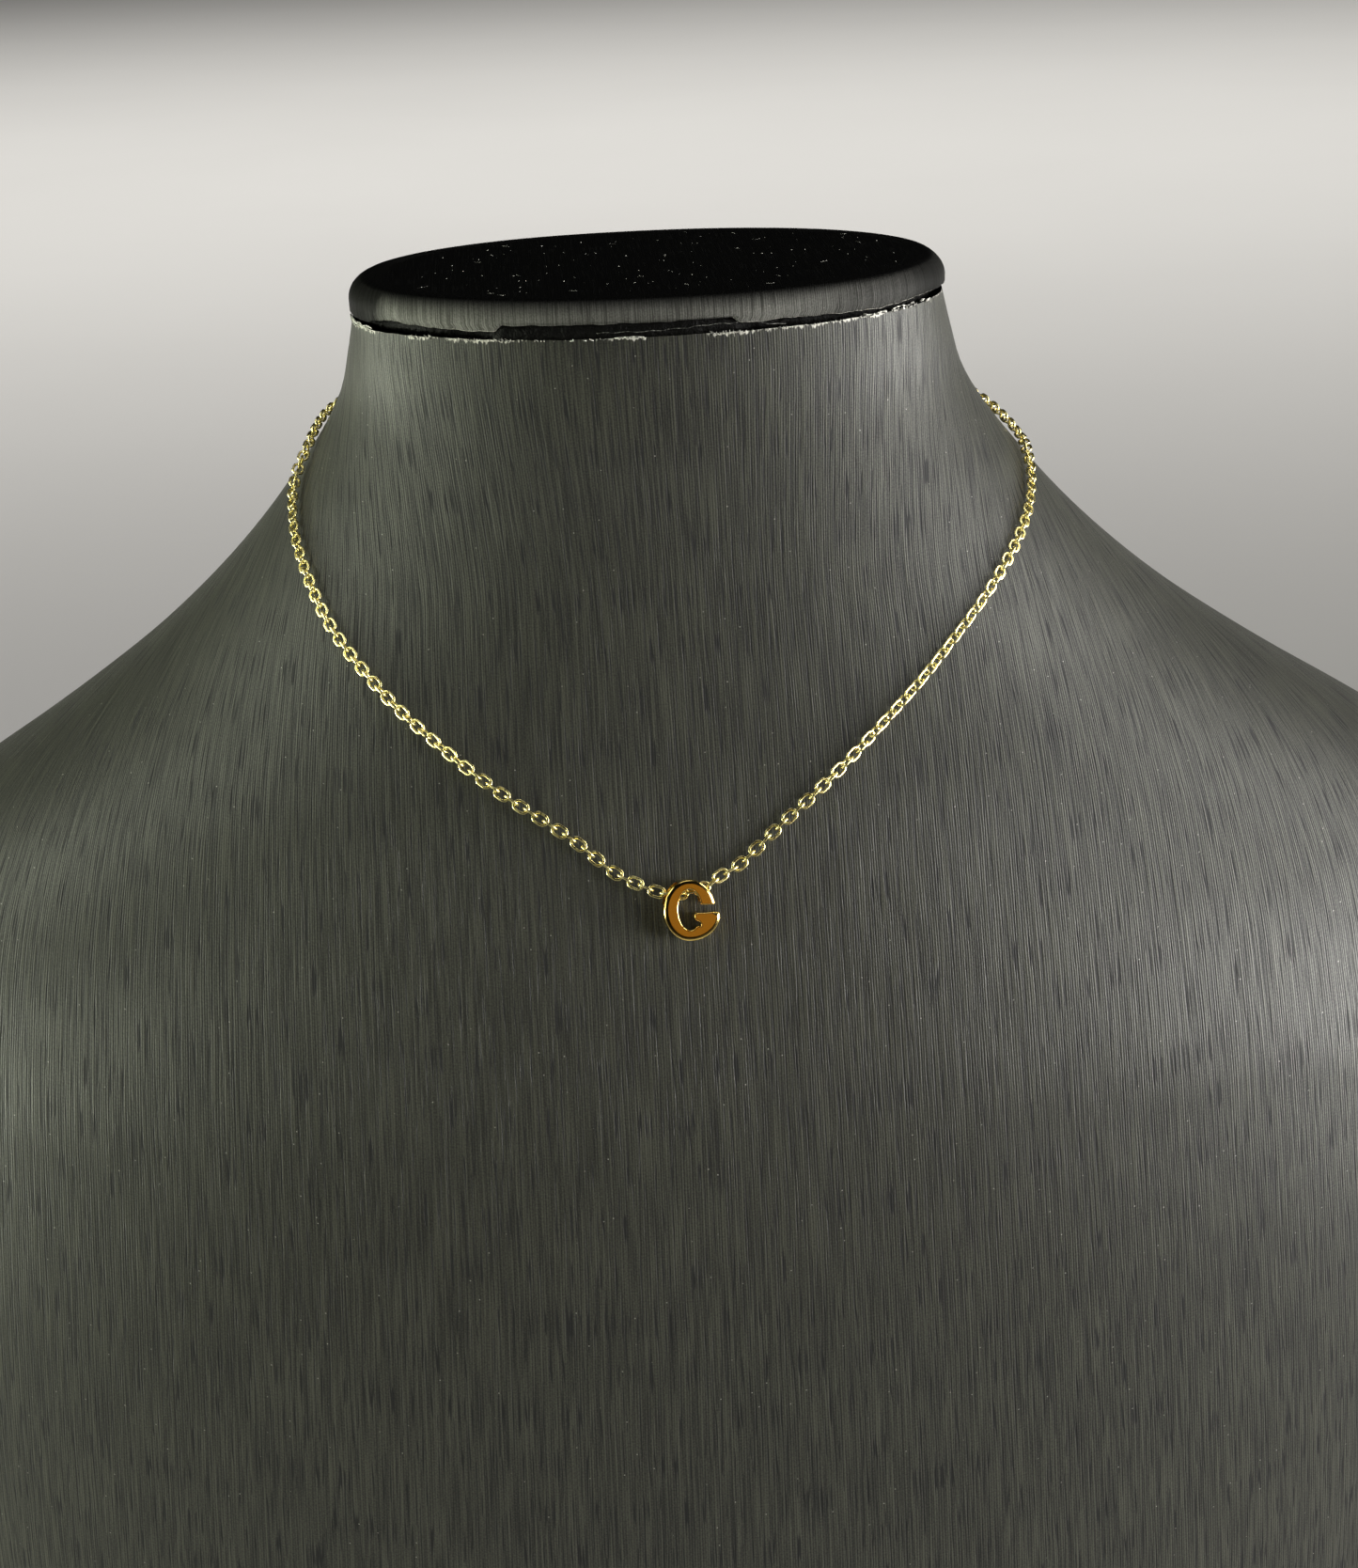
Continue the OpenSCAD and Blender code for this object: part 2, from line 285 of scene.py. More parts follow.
# %% What the ribs are made of
RIB_PITCH = 0.4  # mm from one embossed rib to the next
RIB_WANDER = 9.0  # how far the even ribs wander, in radians of their wave
RIB_DEPTH = 0.05 * MM
CLOTH_NOISES = {  # bumps per mm across the ribs and down them, a shift of its own, detail, roughness
    "wander": (0.11, 0.035, 6.3, 1, 0.5),
    "fine ribs": (2.3, 0.06, 1.7, 1, 0.6),
    "broad ribs": (0.8, 0.05, 2.9, 1, 0.6),
    "slits": (3.2, 0.12, 3.1, 0, 0.5),
    "streaks": (0.9, 0.018, 5.1, 2, 0.6),
    "grain": (3.5, 3.5, 7.7, 0, 0.5),
    "clouds": (0.03, 0.02, 4.7, 2, 0.5),
    "teeth": (2.4, 0.7, 8.3, 1, 0.5),
    "dusty": (0.09, 0.09, 9.9, 0, 0.5),
}
LEVELS = {  # the signal at which each of these begins, and is full
    "slits": (0.36, 0.24), "streaks": (0.4, 0.28), "worn": (0.23, 0.81), "flecks": (0.022, 0.008),
    "dusty": (0.45, 0.62), "bare": (0.0, 0.22),
}
SATIN = 0.48  # roughness of the untouched cloth
FLECK_RATE, FLECK_COLOUR = 0.16, (0.5, 0.49, 0.45)  # one fleck of dust in a square of about 6 mm
# Painted shade: the colour that the cap's cloth is darkened to where it faces away from the lights.
PAINTED_SHADE_BLACK = (0.0012, 0.0012, 0.0012)
print("ribs", RIB_PITCH, "mm apart")


# %% Leatherette material
def leatherette(name, dark, pale, bare, shine):
    """Ribbed satin leatherette, from the mesh's cloth coordinate in millimetres."""
    material, start, shader = new_material(name, {"Specular IOR Level": shine})
    cloth = start.node("ShaderNodeAttribute", {"attribute_name": "cloth"}, output=1)
    frayed = start.node("ShaderNodeAttribute", {"attribute_name": "frayed"}, output=2)
    # How much painted shade lies at each point; only the cap's cover carries it.
    painted_shade = start.node("ShaderNodeAttribute", {"attribute_name": "painted_shade"}, output=2)
    seen = {part: cloth.flat_noise(*setting) for part, setting in CLOTH_NOISES.items()}
    fine, broad, grain, clouds = (seen[part] for part in ("fine ribs", "broad ribs", "grain", "clouds"))

    across = cloth.node("ShaderNodeSeparateXYZ", {}, {0: cloth})
    even = across.maths("SINE", across * (math.tau / RIB_PITCH) + seen["wander"] * RIB_WANDER)
    slits = seen["slits"].between(*LEVELS["slits"]) + seen["streaks"].between(*LEVELS["streaks"]) * 0.2
    worn = (even * 0.08 + fine * 0.6 + broad * 0.1 + grain * 0.3).between(*LEVELS["worn"])
    worn = worn * 0.9 + clouds * 0.1
    colour = slits.tint(worn.tint(dark, pale), dark)

    squares = cloth.stretched(FLECK_RATE, FLECK_RATE)
    flat = {"voronoi_dimensions": "2D"}
    away = cloth.node("ShaderNodeTexVoronoi", flat, {"Vector": squares, "Scale": 1.0})
    dusty = seen["dusty"].between(*LEVELS["dusty"])
    colour = (away.between(*LEVELS["flecks"]) * dusty * 0.5).tint(colour, FLECK_COLOUR)
    bare_bits = (frayed + seen["teeth"] - 1.0).between(*LEVELS["bare"])
    # Painted shade darkens the colour to black, and then the bare backing shows where the edge is frayed.
    colour = bare_bits.tint(painted_shade.tint(colour, PAINTED_SHADE_BLACK), bare)

    height = even * 0.2 + fine * 0.8 + broad * 0.3 - slits * 0.4
    rough = SATIN - worn * 0.12 + clouds * 0.06 + slits * 0.2
    feed(shader, base_color=colour, roughness=rough, normal=height.bump(RIB_DEPTH))
    print(f"{name}: {len(material.node_tree.nodes)} nodes")
    return material


charcoal_cloth = leatherette(
    "charcoal_leatherette", (0.001, 0.001, 0.0009), (0.058, 0.0592, 0.0455), (0.5, 0.49, 0.44), 0.45
)
# The cap's cloth is black; these greys are lighter than that, as painted light on the rim, which painted
# shade takes back to black elsewhere.
cap_cloth = leatherette(
    "black_leatherette", (0.06, 0.06, 0.054), (0.18, 0.18, 0.165), (0.42, 0.41, 0.37), 0.04
)

# %% [markdown]
# ## Bust cover
# The cover is one sheet from the base to a rough cut edge under the cap. The sheet could be a simulated
# cloth, but it is glued down all over, so a surface through the solid's own rings is truer. How far its
# hand-cut edge dips is read off the photograph at chosen turns round the neck.

# %% Values round a ring
def waves(turns, parts):
    """A sum of sine waves round a ring: (how many, size in mm, offset in degrees) for each."""
    total = sum(size * np.sin(np.radians(count * turns + offset)) for count, size, offset in parts)
    return total * MM


def turns_of(count):
    """The turn of each point of a finer ring, in degrees from +X."""
    return BACK_TURN + np.arange(count) / count * 360


def at_turns(table, turns):
    """Values from a table of (turn in degrees, value) rows, at any turns."""
    wrapped = (np.asarray(turns) + 180) % 360 - 180
    rows = np.array(table)
    return np.interp(wrapped, rows[:, 0], rows[:, 1])


def smooth_rise(value, low, high):
    """0 up to low, 1 from high, and smooth between them."""
    share = np.clip((value - low) / (high - low), 0, 1)
    return share * share * (3 - 2 * share)


CUT_EDGE_DROP = [  # turn in degrees, how far the cut edge lies below the seam in mm
    (-180, 0.95), (-155, 0.9), (-147, 0.75), (-135, 0.4), (-110, 0.25), (-80, 0.05), (-20, 0.0), (0, 0.3),
    (90, 0.8), (180, 0.95),
]

# %% Bust cover
BUST_COLUMNS, BUST_ROWS = 384, 150
LEAST_DROP = 0.15 * MM
CUT_EDGE_WAVES = [(23, 0.05, 40), (57, 0.05, 5)]
LAST_ROWS = np.array([1.4, 0.7, 0.3, 0.0]) * MM  # how far below the seam
PLAIN_ROWS_END = 2.5 * MM
BASE_SHARES = (0.1, 0.5, 0.9)  # rings that close the base, as shares of its size

bust_turns = turns_of(BUST_COLUMNS)
fine_rings = np.array([finer_ring(ring, BUST_COLUMNS) for ring in bust_rings])
edge_drop = LEAST_DROP + at_turns(CUT_EDGE_DROP, bust_turns) * MM
edge_drop = edge_drop + waves(bust_turns, CUT_EDGE_WAVES)
ring_step = bust_rings[1][0][2] - bust_rings[0][0][2]
row_heights = np.concatenate([np.linspace(0, seam_z - PLAIN_ROWS_END, BUST_ROWS), seam_z - LAST_ROWS])
bust_grid = np.empty((len(row_heights), BUST_COLUMNS, 3))
for column in range(BUST_COLUMNS):
    lowered = row_heights * (1 - edge_drop[column] / seam_z)
    bust_grid[:, column] = curve_through(fine_rings[:, column], lowered / ring_step)

base_middle = bust_grid[0].mean(0)
base_rows = [base_middle + (bust_grid[0] - base_middle) * share for share in BASE_SHARES]
bust_points = np.concatenate([np.array(base_rows), bust_grid])
bust_faces = closed_rows(len(bust_points), BUST_COLUMNS)
bust_cover = new_piece(
    "bust_cover", bust_points.reshape(-1, 3), bust_faces + [tuple(range(BUST_COLUMNS))[::-1]],
    charcoal_cloth, "leatherette", replaces=["bust_body"],
)

# %% [markdown]
# ## The cloth's own coordinate
# Glued cloth hardly stretches, so its coordinate counts millimetres round the bust from the middle of the
# chest. At the neck it is gathered a little, which leans its ribs inwards. Behind the sides it is eased, or
# the ribs would close into ovals there instead of running straight down the middle of the back. A UV map
# could hold this too, but a named attribute is easier to read.

# %% Millimetres of cloth
def ring_closed(grid):
    """Rows of points with each row's first point once more at its end."""
    return np.concatenate([grid, grid[:, :1]], axis=1)


def cloth_lengths(grid):
    """Millimetres across the cloth from the middle of the chest, and down it from its top edge."""
    closed = ring_closed(grid)
    steps = np.linalg.norm(np.diff(closed, axis=1), axis=2)
    across = np.concatenate([np.zeros((len(grid), 1)), np.cumsum(steps, axis=1)], axis=1)
    middle = grid.shape[1] // 2
    across = across - across[:, middle:middle + 1]
    fall = np.linalg.norm(np.diff(closed, axis=0), axis=2)[::-1]
    down = np.concatenate([np.zeros((1, closed.shape[1])), np.cumsum(fall, axis=0)])[::-1]
    return across / MM, down / MM


def lay_cloth(piece, columns, across, down, rows):
    """Writes the cloth coordinate on the corners of a piece's quads, row by row."""
    cloth = piece.data.attributes.new("cloth", "FLOAT_VECTOR", "CORNER")
    values = np.zeros((len(piece.data.loops), 3), np.float32)
    for face in range(rows * columns):
        row, column = divmod(face, columns)
        corners = ((row, column), (row, column + 1), (row + 1, column + 1), (row + 1, column))
        first = piece.data.polygons[face].loop_start
        for k, (r, c) in enumerate(corners):
            values[first + k, :2] = across[r, c], down[r, c]
    cloth.data.foreach_set("vector", values.ravel())


NECK_GATHER, NECK_STARTS = 0.16, 255 * MM  # how much wider the cloth is at the seam, and from what height
CHEST_GATHER, CHEST_STARTS = 0.12, 235 * MM  # the same at the foot, downwards
SIDE_TURN = 95  # degrees from the middle of the chest to where the easing starts
CLOTH_BEHIND = 300  # mm of cloth to the middle of the back, at all heights

across, down = cloth_lengths(bust_points)
height = ring_closed(bust_points)[..., 2]
gathered = 1 + NECK_GATHER * smooth_rise(height, NECK_STARTS, seam_z)
gathered = gathered + CHEST_GATHER * smooth_rise(-height, -CHEST_STARTS, 0)
across = across / gathered
side_column = BUST_COLUMNS // 2 + BUST_COLUMNS * SIDE_TURN // 360
side_length = np.abs(across[:, side_column])[:, None]
back_length = np.abs(across[:, -1])[:, None]
past_side = np.clip((np.abs(across) - side_length) / (back_length - side_length), 0, 1)
across = across + np.sign(across) * (CLOTH_BEHIND - back_length) * past_side ** 2
lay_cloth(bust_cover, BUST_COLUMNS, across, down, len(bust_points) - 1)
print(f"cloth to the middle of the back: up to {back_length.max():.0f} mm, eased to {CLOTH_BEHIND} mm")

# %% [markdown]
# ## Frayed edge of the cloth
# Along the cut the charcoal skin has flaked off and the pale backing shows. Instead of a painted picture,
# the mesh carries how frayed it is at each point, and a fine noise in the material turns that into teeth.

# %% Frayed cloth edge
def mark(piece, what, values):
    """Writes a number from 0 to 1 at each point of a piece, by the name that its material reads."""
    attribute = piece.data.attributes.new(what, "FLOAT", "POINT")
    padded = np.zeros(len(piece.data.vertices), np.float32)
    padded[:values.size] = values.ravel()
    attribute.data.foreach_set("value", padded)


CLOTH_FRAY = [  # turn in degrees, how frayed the cut edge is there
    (-180, 0.8), (-158, 0.9), (-152, 0.3), (-144, 0.2), (-142, 0.9), (-135, 0.8), (-133, 0.3), (-131, 0.9),
    (-117, 0.9), (-113, 0.4), (-98, 0.5), (-97, 0.85), (-92.5, 0.85), (-91.5, 0.3), (-83, 0.3), (-81, 1.0),
    (-76.5, 1.0), (-74, 0.75), (-50, 0.8), (-44, 0.85), (-42, 0.5), (-30, 0.4), (-20, 0.5), (0, 0.5),
    (180, 0.8),
]
CLOTH_FRAY_ROWS = np.array([0.2, 0.5, 0.8, 1.0])  # the last rows, up to the cut
edge_share = np.zeros((len(bust_points), BUST_COLUMNS))
edge_share[-len(CLOTH_FRAY_ROWS):] = CLOTH_FRAY_ROWS[:, None]
cloth_fray = edge_share * at_turns(CLOTH_FRAY, bust_turns)
mark(bust_cover, "frayed", cloth_fray)
print("well frayed points of the cut edge:", (cloth_fray > 0.7).sum())

# %% [markdown]
# ## Cap
# The cap is a disc of board covered in the same leatherette in black. Its cover is folded over the rim
# and glued under it, so its lower edge wanders, lifts in front on the left and ends in a step where the
# strip's two ends meet. One loft makes it: rings that go up the rim, round the shoulder and in over the
# top.

# %% Height of the cap's folded edge
FOLDED_EDGE = [  # turn in degrees, height over the seam in mm
    (-180, 0.4), (-165, 0.35), (-157, 0.5), (-152, 1.3), (-147, 1.6), (-138, 1.35), (-125, 1.1),
    (-119.6, 1.05), (-118.4, 2.1), (-100, 2.2), (-88, 2.25), (-82, 2.55), (-78, 2.3), (-76.6, 1.25),
    (-67, 1.4), (-55, 1.1), (-45, 0.85), (-29, 1.4), (-14, 1.2), (0, 0.9), (40, 1.4), (90, 1.2),
    (130, 1.0), (180, 0.4),
]
EDGE_WAVES = [(41, 0.05, 0), (67, 0.05, 50), (131, 0.03, 0)]
CAP_COLUMNS = 600
RIM_RING = 2  # the solid's ring where the rim is widest
cap_turns = turns_of(CAP_COLUMNS)
rim = finer_ring(cap_rings[RIM_RING], CAP_COLUMNS)
rim_out = np.cross(np.roll(rim, -1, axis=0) - np.roll(rim, 1, axis=0), (0, 0, 1))
rim_out /= np.linalg.norm(rim_out, axis=1)[:, None]
edge_z = seam_z + at_turns(FOLDED_EDGE, cap_turns) * MM
edge_z = edge_z + waves(cap_turns, EDGE_WAVES)
print(f"folded edge {(edge_z.min() - seam_z) / MM:.2f} mm over the seam at its lowest")


# %% Cap cover
def cap_row(inward, z):
    """A ring of the cap, drawn in from its rim by a distance, at a height."""
    row = rim - rim_out * np.broadcast_to(inward, CAP_COLUMNS)[:, None]
    row[:, 2] = z
    return row


FOLD_PROFILE = (  # mm inside the rim, mm over the folded edge
    (2.2, 0.9), (0.8, 0.1), (0.42, 0.0), (0.15, 0.06), (0.05, 0.2), (0.04, 0.45),
)
RIM_SHARES = (0.35, 0.7)  # rows of the rim, from the fold to the shoulder
RIM_INWARD = 0.02 * MM
DENT_WAVES, DENT = [(5, 0.05, 20), (11, 0.04, 70)], 0.09 * MM  # the shoulder's uneven softness
CURL_ANGLES = range(0, 91, 9)  # degrees round the shoulder
TOP_SHARES = np.linspace(0.94, 0.04, 14)  # rows of the flat top, as shares of its size

cap_top = cap_rings[-1][0][2]
shoulder = cap_top - cap_rings[RIM_RING][0][2]
shoulder_z = cap_top - shoulder
cap_rows = [cap_row(inward * MM, edge_z + above * MM) for inward, above in FOLD_PROFILE]
fold_end = edge_z + FOLD_PROFILE[-1][1] * MM
for share in RIM_SHARES:
    cap_rows.append(cap_row(RIM_INWARD, fold_end * (1 - share) + shoulder_z * share))
shoulder_dent = waves(cap_turns, DENT_WAVES) + DENT
for curl in map(math.radians, CURL_ANGLES):
    inward = shoulder * (1 - math.cos(curl)) + shoulder_dent * math.sin(2 * curl)
    cap_rows.append(cap_row(inward, shoulder_z + shoulder * math.sin(curl)))
top_rows = len(cap_rows)
top_edge = cap_rows[-1]
top_middle = top_edge.mean(0)
for share in TOP_SHARES:
    cap_rows.append(top_middle + (top_edge - top_middle) * share)
cap_grid = np.array(cap_rows)
last_ring = (len(cap_grid) - 1) * CAP_COLUMNS
cap_faces = closed_rows(len(cap_grid), CAP_COLUMNS)
cap_faces.append(tuple(last_ring + i for i in range(CAP_COLUMNS)))
cap_cover = new_piece(
    "cap_cover", cap_grid.reshape(-1, 3), cap_faces, cap_cloth, "black_cap", replaces=["neck_cap"],
)

# %% [markdown]
# ## Ribs, painted shade and fray of the cap
# The ribs stand upright on the rim and run from front to back on the top. The top looks deep black and the
# rim charcoal, which the lights don't give, so a number at each point paints shade into the colour: black
# on the top and round the shoulder, and more or less on the rim, which is left grey as painted light where
# it gleams.

# %% Ribs, painted shade and fray of the cap
RIM_PAINTED_SHADE = [  # turn in degrees, how much painted shade lies on the rim there; 0 leaves its grey as a painted highlight
    (-180, 0.97), (-154, 0.95), (-148, 0.1), (-142, 0.0), (-118, 0.0), (-112, 0.15), (-104, 0.3),
    (-90, 0.39), (-80, 0.16), (-69, 0.12), (-56, 0.6), (-41, 0.76), (-26, 0.93), (0, 0.9), (30, 0.5),
    (150, 0.5), (180, 0.97),
]
SHOULDER_PAINTED_SHADE = (0.04, 0.12, 0.24, 0.38, 0.54, 0.7, 0.84, 0.94, 1.0, 1.0, 1.0)  # painted shade round the shoulder, black towards the top
FOLD_FRAY = [  # turn in degrees, how pale the folded edge is there
    (-180, 0.2), (-155, 0.3), (-147, 0.5), (-133, 0.5), (-129, 1.0), (-120, 1.0), (-118.4, 0.0), (-90, 0.1),
    (-79, 0.4), (-76, 0.9), (-60, 0.6), (-50, 0.9), (-30, 0.9), (-20, 0.4), (0, 0.3), (180, 0.2),
]
FOLD_FRAY_ROWS = np.array([0.4, 1.0, 1.0, 0.25])  # from the second row of the fold on

cap_across, cap_down = cloth_lengths(cap_grid)
top_points = ring_closed(cap_grid)[top_rows:]
cap_across[top_rows:] = top_points[..., 0] / MM
cap_down[top_rows:] = top_points[..., 1] / MM
lay_cloth(cap_cover, CAP_COLUMNS, cap_across, cap_down, len(cap_grid) - 1)
# Painted shade: black on the top, growing round the shoulder, and on the rim as the table gives.
painted_shade = np.ones((len(cap_grid), CAP_COLUMNS))
painted_shade[:top_rows] = at_turns(RIM_PAINTED_SHADE, cap_turns)
for row, black in enumerate(SHOULDER_PAINTED_SHADE, top_rows - len(SHOULDER_PAINTED_SHADE)):
    painted_shade[row] = np.maximum(painted_shade[row], black)
mark(cap_cover, "painted_shade", painted_shade)
fold_share = np.zeros((len(cap_grid), CAP_COLUMNS))
fold_share[1:1 + len(FOLD_FRAY_ROWS)] = FOLD_FRAY_ROWS[:, None]
mark(cap_cover, "frayed", fold_share * at_turns(FOLD_FRAY, cap_turns))
print(f"fully black: {(painted_shade == 1).mean():.0%} of the cap's points")

# %% [markdown]
# ## Glue in the seam
# Black hot glue holds the folded edge down. It is squeezed out in front, between the step and the middle
# of the neck, and lies deeper elsewhere. It could be a fluid simulation, but for so small a bead a lumpy
# ring that fills the gap from behind is enough. Its lumps are sums of sine waves, which close exactly.

# %% Glue
glue_black, glue_start, glue_shader = new_material("glue_black", {"Specular IOR Level": 0.04})
glue_skin = place_in_mm(glue_start).solid_noise(rate=1.8, detail=3.0, roughness=0.6)
feed(
    glue_shader, base_color=glue_skin.tint((0.001, 0.001, 0.001), (0.006, 0.006, 0.0055)),
    roughness=glue_skin * 0.3 + 0.3, normal=glue_skin.bump(0.3 * MM),
)


def lumps(turns, counts, size):
    """Closed random unevenness round a ring, from a size in mm."""
    parts = [(count, size / math.sqrt(len(counts)), chance.uniform(0, 360)) for count in counts]
    return waves(turns, parts)


GLUE_OUT = [  # turn in degrees, how far inside the rim the glue's face lies in mm
    (-180, 2.4), (-125, 2.4), (-121, 1.2), (-119, 0.2), (-115, 0.3), (-105, 0.5), (-85, 0.5),
    (-78, 1.0), (-74, 2.2), (0, 2.4), (90, 1.2), (180, 2.4),
]
GLUE_PROFILE = (  # mm behind its face, share of its height, and whether it is lumpy there
    (2.6, 0.0, 0), (1.2, 0.05, 0), (0.25, 0.18, 1), (0.0, 0.45, 1), (0.05, 0.7, 1), (0.35, 0.95, 1),
    (1.4, 1.2, 0),
)
GLUE_FOOT, GLUE_OVERLAP, LEAST_IN = 1.0 * MM, 0.15 * MM, 0.1 * MM  # under the seam, over the edge, in the rim

glue_in = at_turns(GLUE_OUT, cap_turns) * MM
low, high = seam_z - GLUE_FOOT, edge_z + GLUE_OVERLAP
glue_rows = []
for behind, share, lumpy in GLUE_PROFILE:
    uneven_out = lumps(cap_turns, (31, 53, 79, 113, 151, 190), size=0.14) * lumpy
    uneven_up = lumps(cap_turns, (29, 47, 83, 120), size=0.12) * lumpy
    inward = np.maximum(glue_in + behind * MM + uneven_out, LEAST_IN)
    glue_rows.append(cap_row(inward, low + (high - low) * share + uneven_up))
glue_grid = np.array(glue_rows)
glue_faces = closed_rows(len(glue_grid), CAP_COLUMNS)
new_piece("seam_glue", glue_grid.reshape(-1, 3), glue_faces, glue_black, "black_cap")

# %% [markdown]
# ## Frayed threads
# Where the cloth was cut, loose fibres of its pale backing stand along the edge. Hair curves could draw
# them, but each is a few pixels long, so small tapered spikes of real geometry are enough, and they
# survive the export. One grey strand of backing lies in the glue, and in a few places a longer sliver of
# the cut edge has curled up: thin tubes along wavy lines, as flat ribbons would vanish when seen on edge.

# %% Thread materials
def threads(name, low, high):
    """Matt fibres of an uneven tone."""
    material, start, shader = new_material(name, {"Specular IOR Level": 0.3})
    tone = place_in_mm(start).solid_noise(rate=2.0, detail=1.0)
    feed(shader, base_color=tone.between(0.35, 0.65).tint(low, high), roughness=tone * 0.3 + 0.45)
    return material


thread_pale = threads("thread_pale", (0.05, 0.05, 0.045), (0.7, 0.69, 0.63))
thread_grey = threads("thread_grey", (0.01, 0.01, 0.009), (0.16, 0.16, 0.145))

# %% Tapered spikes along the cut
NO_THREAD_RUNS_SO = (0.13, 0.37, 0.92)  # a direction to turn a tube's first side from


def tube(line, radii, sides):
    """Points and faces of a round tube along a line of points, closed at both ends."""
    line = np.array(line)
    ahead = np.gradient(line, axis=0)
    ahead /= np.linalg.norm(ahead, axis=1)[:, None]
    side = np.cross(ahead, NO_THREAD_RUNS_SO)
    side /= np.linalg.norm(side, axis=1)[:, None]
    other = np.cross(ahead, side)
    points = []
    for i, radius in enumerate(radii):
        for turn in np.arange(sides) / sides * math.tau:
            points.append(line[i] + radius * (math.cos(turn) * side[i] + math.sin(turn) * other[i]))
    faces = closed_rows(len(line), sides)
    faces.append(tuple(range(sides))[::-1])
    faces.append(tuple((len(line) - 1) * sides + k for k in range(sides)))
    return points, faces


def joined(parts):
    """One list of points and one of faces from several parts."""
    points, faces = [], []
    for part_points, part_faces in parts:
        first = len(points)
        points += part_points
        faces += [tuple(first + v for v in face) for face in part_faces]
    return points, faces


def on_ring(turn, inward, above):
    """A point at a turn round the seam, drawn in from the cap's rim and above the seam, in mm."""
    column = int(round((turn - BACK_TURN) / 360 * CAP_COLUMNS)) % CAP_COLUMNS
    place = rim[column] - rim_out[column] * inward * MM
    return np.array((place[0], place[1], seam_z + above * MM))


FRAYS = [  # from turn, to turn, how many, shortest and longest in mm, thickness in mm
    (-178, -156, 30, 0.2, 0.6, 0.09), (-143, -135, 16, 0.3, 0.7, 0.1), (-131, -116, 34, 0.2, 0.6, 0.09),
    (-119, -117.5, 4, 0.3, 0.8, 0.1), (-112, -98, 14, 0.15, 0.4, 0.08), (-82, -77, 16, 0.3, 0.7, 0.1),
    (-76, -46, 36, 0.2, 0.45, 0.08), (-43, -31, 22, 0.3, 0.6, 0.1), (-27, -24, 7, 0.3, 0.7, 0.1),
    (0, 170, 60, 0.2, 0.6, 0.09),
]
LEAN = 1.6  # degrees sideways for each mm of length, at most
FRAY_TAPER = ((0, 0.9), (0.5, 0.8), (1, 0.3))  # share of the length, share of the thickness

spikes = []
for first_turn, last_turn, count, shortest, longest, thick in FRAYS:
    for _ in range(count):
        turn = chance.uniform(first_turn, last_turn)
        length = chance.uniform(shortest, longest)
        lean = chance.uniform(-LEAN, LEAN) * length
        root = -0.2 - at_turns(CUT_EDGE_DROP, turn)  # mm: each starts a little under the cut
        shares = [share for share, _ in FRAY_TAPER]
        line = [on_ring(turn + lean * s, 0.35 - 0.25 * s, root + length * s) for s in shares]
        spikes.append(tube(line, [width * thick * MM for _, width in FRAY_TAPER], 5))
new_piece("cloth_frays", *joined(spikes), thread_pale, "leatherette")

# %% Grey strand in the glue
STRAND_TURNS, STRAND_RADIUS = np.linspace(-100, -68, 40), 0.055 * MM
STRAND_IN, STRAND_UP = 0.28, 0.85  # mm inside the rim, and over the seam
CLIMB, DIVE = (-92, -80), (-76, -68)  # from turn, to turn
CLIMB_BY, DIVE_BY = 0.55, 0.9  # mm

line = []
for turn in STRAND_TURNS:
    above = STRAND_UP + CLIMB_BY * smooth_rise(turn, *CLIMB) - DIVE_BY * smooth_rise(turn, *DIVE)
    line.append(on_ring(turn, STRAND_IN + 0.1 * math.sin(turn * 0.9), above + 0.08 * math.sin(turn * 1.7)))
new_piece("glue_strand", *tube(line, [STRAND_RADIUS] * len(line), 6), thread_grey, "black_cap")

# %% Slivers of the cut edge
SLIVER_TURNS = np.linspace(-97.2, -92.4, 9)
SLIVER_RADII = (0.03, 0.1, 0.13, 0.14, 0.15, 0.15, 0.16, 0.12, 0.03)  # mm
TORN_EDGES = [  # from turn, to turn, height over the seam and thickness in mm
    (-177.5, -156, -0.3, 0.14), (-50, -43, 0.1, 0.2), (-41.5, -33, 0.4, 0.12), (-30, -28, 0.5, 0.14),
]

sliver_line = [on_ring(turn, 0.1, 0.02 + 0.06 * math.sin(turn * 3)) for turn in SLIVER_TURNS]
slivers = [tube(sliver_line, [radius * MM for radius in SLIVER_RADII], 6)]
for first_turn, last_turn, above, thick in TORN_EDGES:
    turns = np.linspace(first_turn, last_turn, 28)
    line = [on_ring(turn, 0.2, above + 0.12 * math.sin(turn * 1.1)) for turn in turns]
    swell = 1 + 0.4 * np.sin(turns * 0.8) * np.sin(turns * 2.3)
    radii = thick * swell * MM
    radii[[0, -1]] = 0.03 * MM
    slivers.append(tube(line, radii, 6))
new_piece("cloth_slivers", *joined(slivers), thread_pale, "leatherette")

# %% [markdown]
# ## Lint
# Dust and short fibres lie on the black top of the cap, where they show best. A noise in the material
# could paint specks, but not bent fibres, so they are tiny pale tubes at random places and bends.

# %% Lint on the cap
LINT_COUNT, LINT_STEPS, LINT_TAPER = 130, 5, (0.6, 1, 1, 1, 1, 0.5)
LINT_MIDDLE_Y, LINT_REACH_X, LINT_REACH_Y = 29, 48.5, 33.5  # mm, the oval of the cap's top
LINT_EDGE, LINT_SUNK = 0.94, 0.01 * MM  # how far out towards that oval, and how deep
LONG_SHARE = 0.16  # how many of them are long fibres
LONG_LENGTHS, SHORT_LENGTHS = (0.8, 2.2), (0.06, 0.3)  # mm
LONG_RADIUS, SHORT_RADII = 0.035, (0.05, 0.1)  # mm
BEND = 1.6  # radians over the whole length, at most

